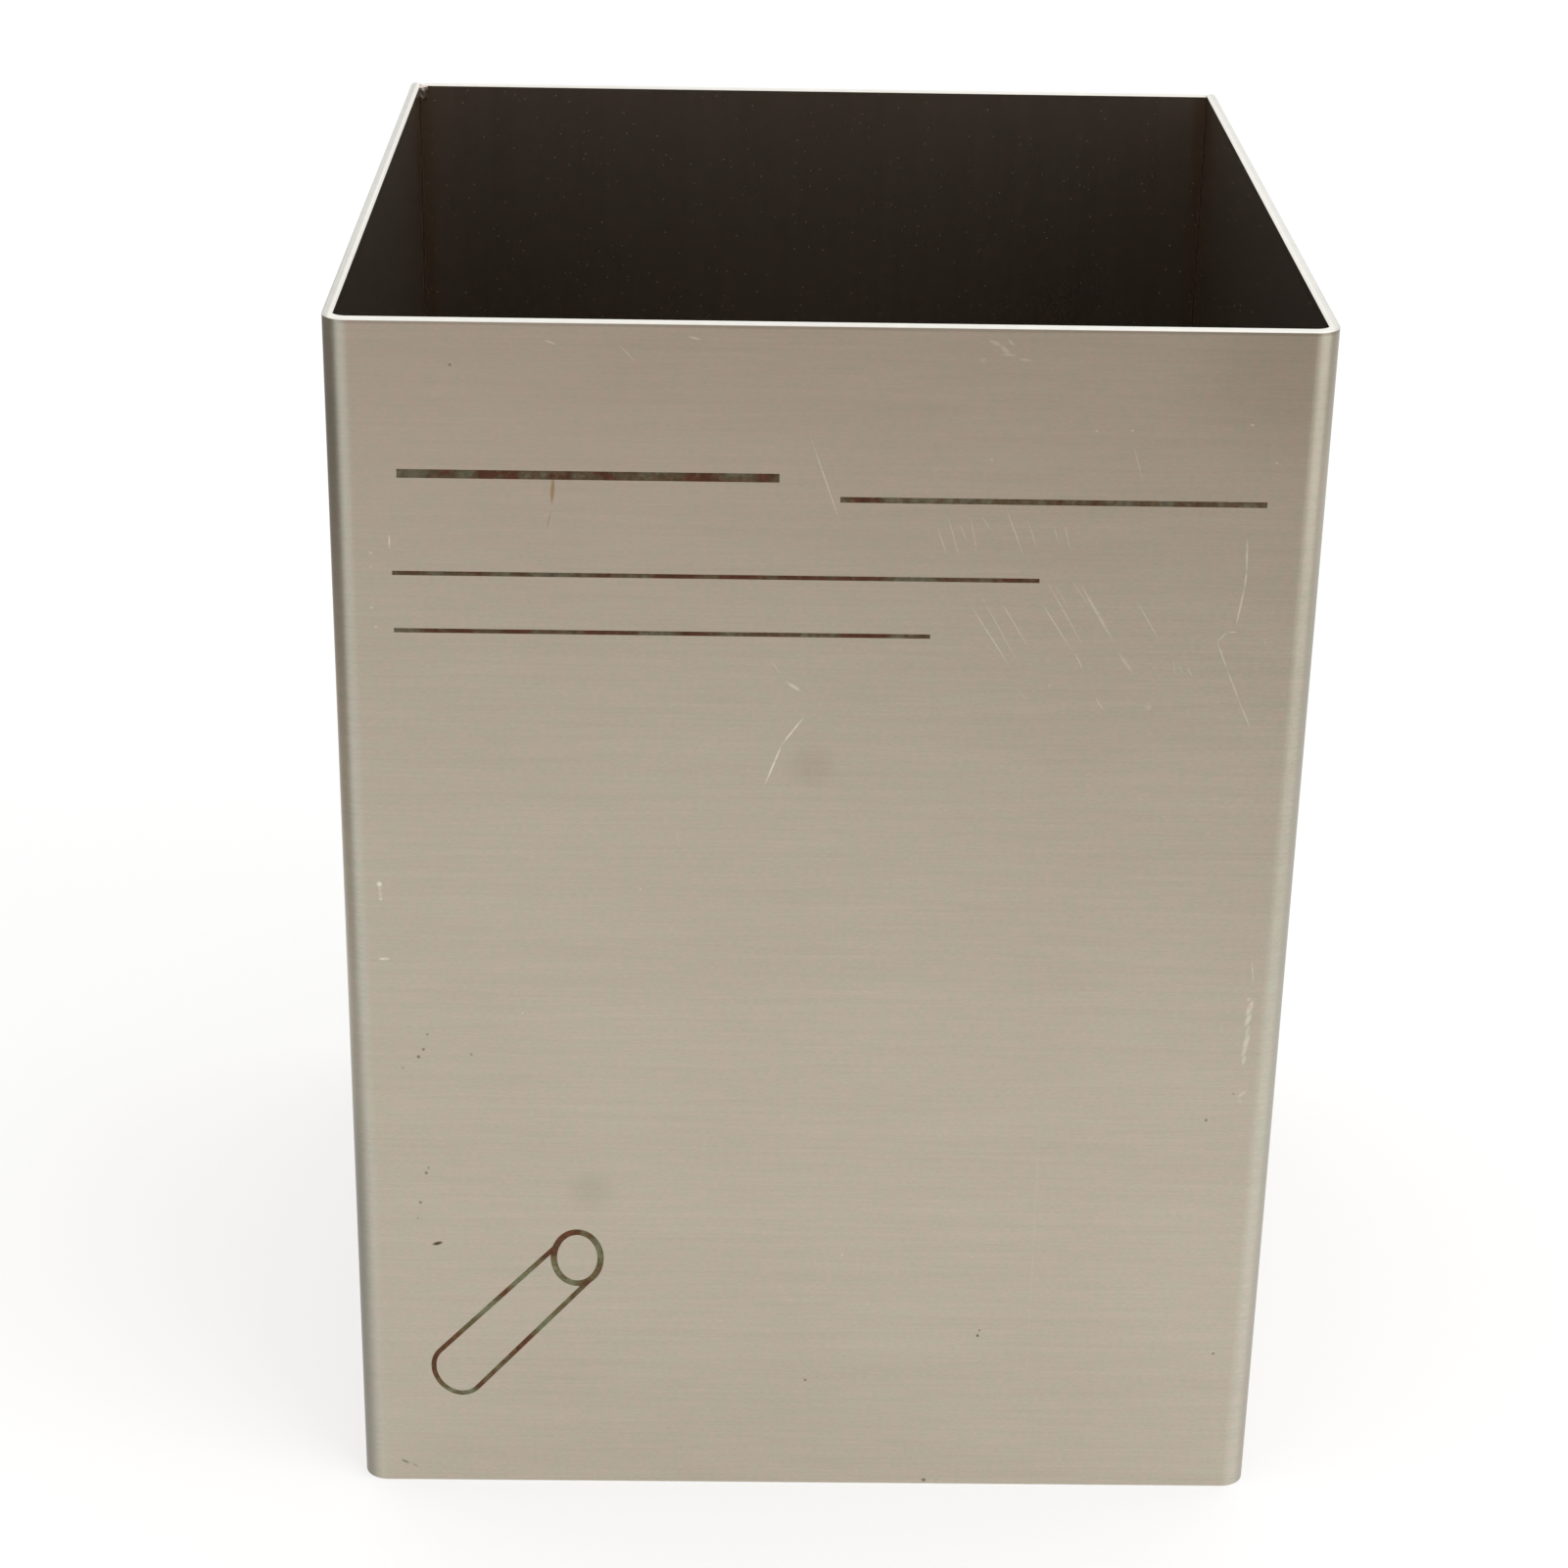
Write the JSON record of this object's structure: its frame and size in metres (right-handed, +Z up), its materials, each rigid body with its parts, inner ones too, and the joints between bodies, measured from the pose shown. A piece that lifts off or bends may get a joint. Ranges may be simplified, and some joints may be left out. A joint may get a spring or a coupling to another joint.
{
  "type": "straw holder box",
  "caption": "Open-topped box of brushed stainless sheet that stands on a counter and holds wrapped drinking straws upright.",
  "frame": {"origin": "middle of the footprint, on the surface that the box stands on", "axes": "+Z up to the open rim, +X to the right along the front wall, the front wall faces -Y"},
  "size_m": [0.11, 0.112, 0.15],
  "materials": {
    "brushed_sheet": "fine horizontal hairline brushing outside, plain mill finish inside",
    "mill_sheet": "plain mill finish",
    "ground_weld": "weld metal ground flush and brushed",
    "raw_weld": "as welded, slightly heat tinted"
  },
  "bodies": {
    "root": {"front_wrap": "brushed_sheet", "back_panel": "brushed_sheet", "base_plate": "mill_sheet", "left_seam_weld": "ground_weld", "right_seam_weld": "ground_weld", "rim_tack_weld": "raw_weld", "front_base_stitches": "raw_weld", "right_base_stitches": "raw_weld", "back_base_stitches": "raw_weld", "left_base_stitches": "raw_weld"}
  },
  "joints": []
}
